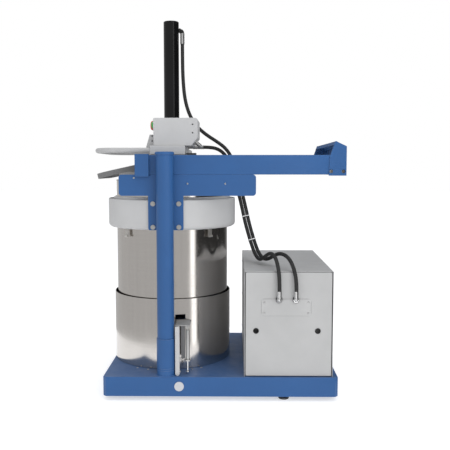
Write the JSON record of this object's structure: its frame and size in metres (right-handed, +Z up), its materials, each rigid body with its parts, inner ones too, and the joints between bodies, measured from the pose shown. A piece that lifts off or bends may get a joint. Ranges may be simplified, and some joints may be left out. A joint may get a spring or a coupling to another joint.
{
  "type": "hydraulic in-drum waste compactor",
  "caption": "Hydraulic in-drum compactor: round stainless chamber on a tray, press head rolling on two rails, floor-mounted power unit joined by hoses.",
  "frame": {"origin": "middle of the footprint at floor level", "axes": "+Z up; +X along the rails from the chamber towards the power unit; -Y is the front, the side with the hose connections and the jacket's lift"},
  "size_m": [1.2124, 0.8635, 1.838],
  "materials": {
    "frame_blue": "satin powder coat",
    "cover_grey": "satin powder coat",
    "unit_grey": "satin powder coat",
    "bracket_grey": "satin paint",
    "tank_grey": "satin paint",
    "handle_grey": "satin powder coat",
    "bow_grey": "satin powder coat",
    "stainless_steel": "brushed around the axis",
    "zinc_steel": "bright zinc",
    "fitting_steel": "bright plated",
    "chromed_rod": "hard chrome",
    "dark_screws": "blackened",
    "cylinder_black": "gloss",
    "cast_alloy": "cast",
    "wheel_nylon": "moulded nylon",
    "black_rubber": "matt",
    "hose_rubber": "smooth cover",
    "black_plastic": "moulded",
    "grey_plastic": "moulded",
    "white_plastic": "moulded",
    "tie_white": "moulded nylon",
    "red_plastic": "moulded",
    "green_plastic": "moulded"
  },
  "bodies": {
    "machine_frame": {"base_tray": "frame_blue", "tray_cross_members": "frame_blue", "base_plugs": "grey_plastic", "levelling_feet": "black_rubber", "column_front": "frame_blue", "column_rear": "frame_blue", "column_sockets": "frame_blue", "column_caps": "frame_blue", "column_saddles": "frame_blue", "side_plate_front": "frame_blue", "side_plate_rear": "frame_blue", "rail_front": "frame_blue", "rail_rear": "frame_blue", "rail_end_blocks": "frame_blue", "end_console": "frame_blue", "console_side_plates": "frame_blue", "frame_bolts": "zinc_steel", "frame_screws": "zinc_steel", "chamber_tube": "stainless_steel", "collar": "cover_grey", "collar_seal": "cover_grey", "bag_hooks": "stainless_steel", "guide_post": "cover_grey", "gas_spring_rod": "chromed_rod", "power_unit_case": "unit_grey", "power_unit_front": "unit_grey", "connection_plate": "unit_grey", "panel_plugs": "black_plastic", "oil_tank": "tank_grey", "tank_lid": "tank_grey", "pump_motor": "cast_alloy", "hydraulic_pump": "cast_alloy", "valve_block": "cast_alloy", "unit_elbows": "fitting_steel", "hose_upper": "hose_rubber", "hose_lower": "hose_rubber", "cable_ties": "tie_white"},
    "jacket_body": {"jacket": "stainless_steel", "lift_bracket": "bracket_grey", "gas_spring_body": "zinc_steel"},
    "head": {"carriage_frame": "bracket_grey", "carriage_pins": "zinc_steel", "carriage_shroud": "cover_grey", "head_buffers": "black_rubber", "operator_wedge": "cover_grey", "control_box": "cover_grey", "switch_housing": "white_plastic", "cable_gland": "zinc_steel", "head_screws": "dark_screws", "handle": "handle_grey", "cylinder_tube": "cylinder_black", "cylinder_ends": "cylinder_black", "port_fittings": "fitting_steel"},
    "ram": {"ram_rod": "chromed_rod", "press_plate": "bracket_grey"},
    "bow_body": {"bow": "bow_grey"},
    "stop_body": {"stop_button": "red_plastic"},
    "start_body": {"start_button": "green_plastic"},
    "left_wheels": {"wheels_left": "wheel_nylon"},
    "right_wheels": {"wheels_right": "wheel_nylon"}
  },
  "joints": [
    {"name": "head_travel", "type": "slide", "parent": "machine_frame", "child": "head", "axis": [-1, 0, 0], "range_m": [-0.45, 0], "deforming": ["hose_upper", "hose_lower", "cable_ties"]},
    {"name": "left_wheel_spin", "type": "hinge", "parent": "head", "child": "left_wheels", "pos_m": [-0.28425, 0, 1.1063], "axis": [0, 1, 0], "range_deg": [-1, 700]},
    {"name": "right_wheel_spin", "type": "hinge", "parent": "head", "child": "right_wheels", "pos_m": [-0.20225, 0, 1.1063], "axis": [0, 1, 0], "range_deg": [-1, 700]},
    {"name": "ram_stroke", "type": "slide", "parent": "head", "child": "ram", "axis": [0, 0, -1], "range_m": [0, 0.55]},
    {"name": "bow_lift", "type": "hinge", "parent": "head", "child": "bow_body", "pos_m": [-0.24225, 0, 1.132], "axis": [0, 1, 0], "range_deg": [0, 15]},
    {"name": "stop_press", "type": "slide", "parent": "head", "child": "stop_body", "axis": [1, 0, 0], "range_m": [0, 0.004], "stiffness_N_per_m": 800},
    {"name": "start_press", "type": "slide", "parent": "head", "child": "start_body", "axis": [1, 0, 0], "range_m": [0, 0.004], "stiffness_N_per_m": 800},
    {"name": "jacket_lift", "type": "slide", "parent": "machine_frame", "child": "jacket_body", "axis": [0, 0, 1], "range_m": [0, 0.1]}
  ],
  "couplings": [
    {"joint": "left_wheel_spin", "follows": "head_travel", "rad_per_m": -26.316},
    {"joint": "right_wheel_spin", "follows": "head_travel", "rad_per_m": -26.316}
  ]
}
